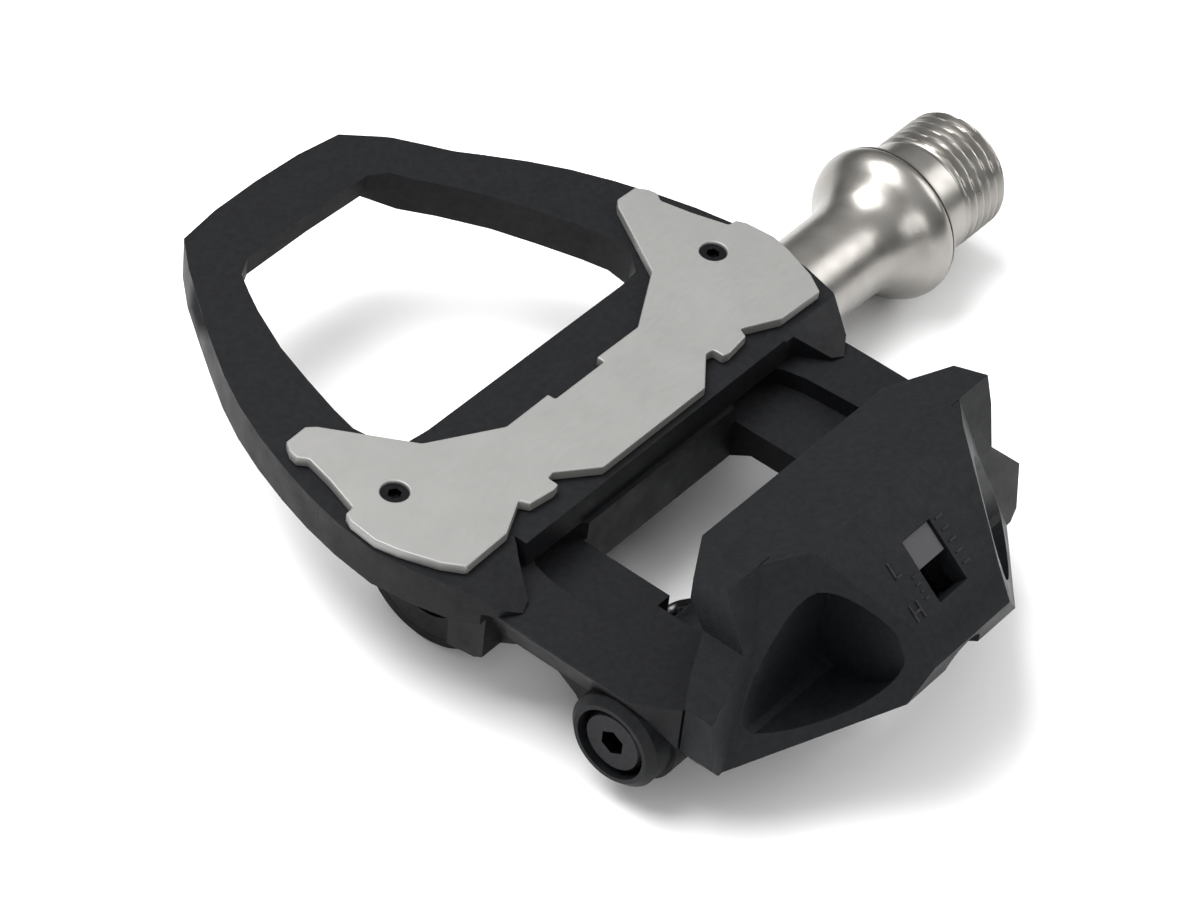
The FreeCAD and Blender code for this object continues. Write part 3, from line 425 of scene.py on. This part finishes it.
def thread_radius(x):
    """Left-hand thread form at x: a function of the angle about the axis."""
    flat, flank = 0.12, 0.76  # shares of half a pitch
    run_in = 0.9
    chamfer_start, chamfer_slope = 11.75, 0.95

    def radius(angle):
        phase = ((x + PITCH * angle / (2 * math.pi)) / PITCH) % 1.0
        wave = abs(2 * phase - 1)
        depth = min(1.0, max(0.0, (wave - flat) / flank))
        fade = min(1.0, max(0.0, (x - THREAD_START) / run_in))
        cap = CREST - chamfer_slope * max(0.0, x - chamfer_start)
        return min(LAND + (CREST - LAND) * fade - (CREST - ROOT) * depth * fade, cap)

    return radius


def hexagon_radius(across):
    """Hexagonal outline by its width across flats: a function of the angle about the axis."""
    def radius(angle):
        step = math.pi / 3
        return across / 2 / math.cos((angle % step) - step / 2)

    return radius


def spindle():
    """Bearing end, neck, flange, plain land, thread and the socket in the thread's end."""
    bearing_end = [(-76.0, 2.2), (-75.6, 2.5), (-72.0, 2.5), (-72.0, 3.0), (-60.0, 3.0), (-60.0, 4.0),
                   (-29.0, 4.0), (-29.0, 5.3)]
    neck = [(-24.0, 5.5), (-16.0, 5.45), (-9.5, 5.5), (-7.8, 5.62), (-6.6, 5.95), (-5.6, 6.5),
            (-4.7, 7.2), (-4.0, 7.9), (-3.4, 8.4)]
    flange = [(-2.8, 8.75), (-2.2, 8.98), (-1.7, 9.08), (-1.0, 9.08), (-0.8, 8.98), (-0.72, 8.62),
              (-0.45, 8.62), (-0.38, 8.84), (-0.12, 8.8), (0.0, 8.55)]
    land = [(0.0, 7.25), (0.25, 7.02), (2.2, 7.0), (4.3, 7.02)]
    thread = []
    steps = 104
    for i in range(steps + 1):
        x = THREAD_START + (THREAD_END - THREAD_START) * i / steps
        thread.append((x, thread_radius(x)))
    socket = hexagon_radius(KEY_SIZE)
    mouth = [(THREAD_END, 5.4), (THREAD_END, lambda angle: min(5.3, socket(angle) + 0.35)),
             (12.3, socket), (6.8, socket), (6.6, 3.4)]
    mesh = skin_rows("spindle_turned", bearing_end + neck + flange + land + thread + mouth, 144)
    piece = add_piece("spindle_turned", mesh, "spindle_steel", "spindle")
    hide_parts("spindle")


# ---------------------------------------------------------------- torsion springs
# Each spring is laid out at its distance from the centre plane; its sign then puts it on one side.
COIL_RADIUS, WIRE_RADIUS = 4.3 * MM, 0.78 * MM
NEAR, FAR = 2.9 * MM, 8.7 * MM  # the coil's two ends, from the centre plane
GRIP = Vector((NEAR, -38.56 * MM, 8.06 * MM))  # the leg's tip, under the spring plate
FOOT = Vector((FAR, -19.5 * MM, -1.85 * MM))  # where the coil's straight end bends outwards
FOOT_BEND, FOOT_REACH = 1.5 * MM, 5.6 * MM
TURNS, STEPS_PER_TURN, LEG_STEPS = 3, 40, 24


def touch_angle(spot, side):
    """Angle on the coil where the straight line to spot touches it."""
    dy, dz = spot.y - PIN_Y, spot.z - PIN_Z
    return math.atan2(dz, dy) + side * math.acos(COIL_RADIUS / math.hypot(dy, dz))


def spring_lines():
    """Centre lines of one spring in metres: its leg under the spring plate, then its coil and foot."""
    first = touch_angle(GRIP, -1)
    last = touch_angle(FOOT, 1) - 2 * math.pi * TURNS
    steps = STEPS_PER_TURN * TURNS
    coil = []
    for i in range(steps + 1):
        share = i / steps
        angle = first + (last - first) * share
        coil.append(Vector((NEAR + (FAR - NEAR) * share, PIN_Y + COIL_RADIUS * math.cos(angle),
                            PIN_Z + COIL_RADIUS * math.sin(angle))))
    leg = [GRIP.lerp(coil[0], i / LEG_STEPS) for i in range(LEG_STEPS + 1)]
    way = (FOOT - coil[-1]).normalized()
    corner = FOOT - way * FOOT_BEND
    side = Vector((1, 0, 0))
    arc = [corner + way * FOOT_BEND * math.sin(a) + side * FOOT_BEND * (1 - math.cos(a))
           for a in [math.radians(15 * k) for k in range(7)]]
    return leg, coil + arc + [FOOT + side * FOOT_REACH]


def wire(name, line, sign):
    """Round wire along a centre line, on the side of the pedal given by sign."""
    curve = bpy.data.curves.new(name, "CURVE")
    curve.dimensions = "3D"
    curve.bevel_depth = WIRE_RADIUS
    curve.bevel_resolution = 6
    curve.use_fill_caps = True
    strand = curve.splines.new("POLY")
    strand.points.add(len(line) - 1)
    for point, spot in zip(strand.points, line):
        point.co = (CENTRE_X + sign * spot.x, spot.y, spot.z, 1)
    obj = bpy.data.objects.new(name, curve)
    bpy.context.scene.collection.objects.link(obj)
    mesh = plain_mesh(obj, name)
    mesh.set_sharp_from_angle(angle=math.radians(60))
    for face in mesh.polygons:
        face.use_smooth = True
    return add_piece(name, mesh, "spring_steel")


def torsion_spring(node, sign):
    """The spring as round wire in the node's place, on the side given by sign: its coil with the foot,
    and its leg. On the real pedal the coil twists between pedal and claw and the leg bends between
    claw and tension block; these two pieces ride no body and stay as drawn.
    """
    leg_line, coil_line = spring_lines()
    coil = wire(node + "_wire", coil_line, sign)
    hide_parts(node)
    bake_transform(coil)
    leg = wire(node + "_leg", leg_line, sign)
    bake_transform(leg)


# ---------------------------------------------------------------- stage, light and camera
def stage_floor():
    """A wide pale sheet under the lowest point at rest."""
    low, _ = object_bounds()
    z, span = low[2], 3.0
    corners = [(-span, -span, z), (span, -span, z), (span, span, z), (-span, span, z)]
    mesh = bpy.data.meshes.new("floor")
    mesh.from_pydata(corners, [], [(0, 1, 2, 3)])
    floor = bpy.data.objects.new("floor", mesh)
    bpy.context.scene.collection.objects.link(floor)
    finish = Finish("floor_paper", (0.93, 0.93, 0.93), 0.9)
    finish.colour_from(finish.noise(6, 3), [(0.3, (0.925, 0.925, 0.925)), (0.7, (0.94, 0.94, 0.94))])
    mesh.materials.append(finish.material)


def soft_box(name, spot, target, size, power):
    """A rectangular lamp at spot, turned to target; sizes in metres and power in watts."""
    light = bpy.data.lights.new(name, "AREA")
    light.shape = "RECTANGLE"
    light.size, light.size_y = size
    light.energy = power
    lamp = bpy.data.objects.new(name, light)
    lamp.location = spot
    lamp.rotation_euler = (Vector(target) - Vector(spot)).to_track_quat("-Z", "Y").to_euler()
    bpy.context.scene.collection.objects.link(lamp)


def dim_the_horizon(tree):
    """Bright overhead, dimmer at the sides, so that turned steel shows soft dark bands."""
    where = tree.nodes.new("ShaderNodeTexCoord")
    split = tree.nodes.new("ShaderNodeSeparateXYZ")
    ramp = tree.nodes.new("ShaderNodeValToRGB")
    tree.links.new(where.outputs["Generated"], split.inputs["Vector"])
    tree.links.new(split.outputs["Z"], ramp.inputs["Fac"])
    elements = ramp.color_ramp.elements
    elements.new(0.3)
    for element, (place, level) in zip(elements, ((0.0, 0.16), (0.35, 0.34), (0.85, 1.0))):
        element.position = place
        element.color = (level, level, level, 1)
    background = tree.nodes["Background"]
    tree.links.new(ramp.outputs["Color"], background.inputs["Color"])
    background.inputs["Strength"].default_value = 0.9


def studio():
    """A large lamp overhead, a weak one on either side, and the dimmed surroundings."""
    scene = bpy.context.scene
    world = bpy.data.worlds.new("studio")
    world.use_nodes = True
    dim_the_horizon(world.node_tree)
    scene.world = world
    middle = (-0.045, -0.002, 0.005)
    soft_box("key", (-0.20, 0.30, 0.70), middle, (0.6, 0.5), 8.5)
    soft_box("fill", (0.45, -0.25, 0.35), middle, (0.35, 0.35), 1.5)
    soft_box("front", (-0.45, -0.45, 0.25), middle, (0.35, 0.25), 1.0)
    scene.view_settings.view_transform = "Standard"


def camera():
    """A long lens from behind, above and outboard."""
    lens = bpy.data.cameras.new("camera")
    lens.sensor_width = 36.0
    lens.lens = 135.7
    lens.clip_start, lens.clip_end = 0.01, 20
    eye = bpy.data.objects.new("camera", lens)
    right = Vector((0.62981, -0.77154, 0.08985))
    up = Vector((0.49025, 0.48456, 0.72447))
    back = Vector((-0.60249, -0.41223, 0.68343))
    turn = Matrix((right, up, back)).transposed()
    spot = Vector((-0.33290, -0.19306, 0.31904))
    eye.matrix_world = Matrix.Translation(spot) @ turn.to_4x4()
    bpy.context.scene.collection.objects.link(eye)
    bpy.context.scene.camera = eye


camera()
studio()
for node, piece in NODES.items():
    wear(piece, SLOT_OF[node])
ease_node("pedal_body", 0.45 * MM)
ease_node("claw", 0.5 * MM)
ease_node("contact_plate", 0.18 * MM, 2)
spindle()
claw_marks()
torsion_spring("torsion_spring_out", -1)
torsion_spring("torsion_spring_in", 1)
stage_floor()
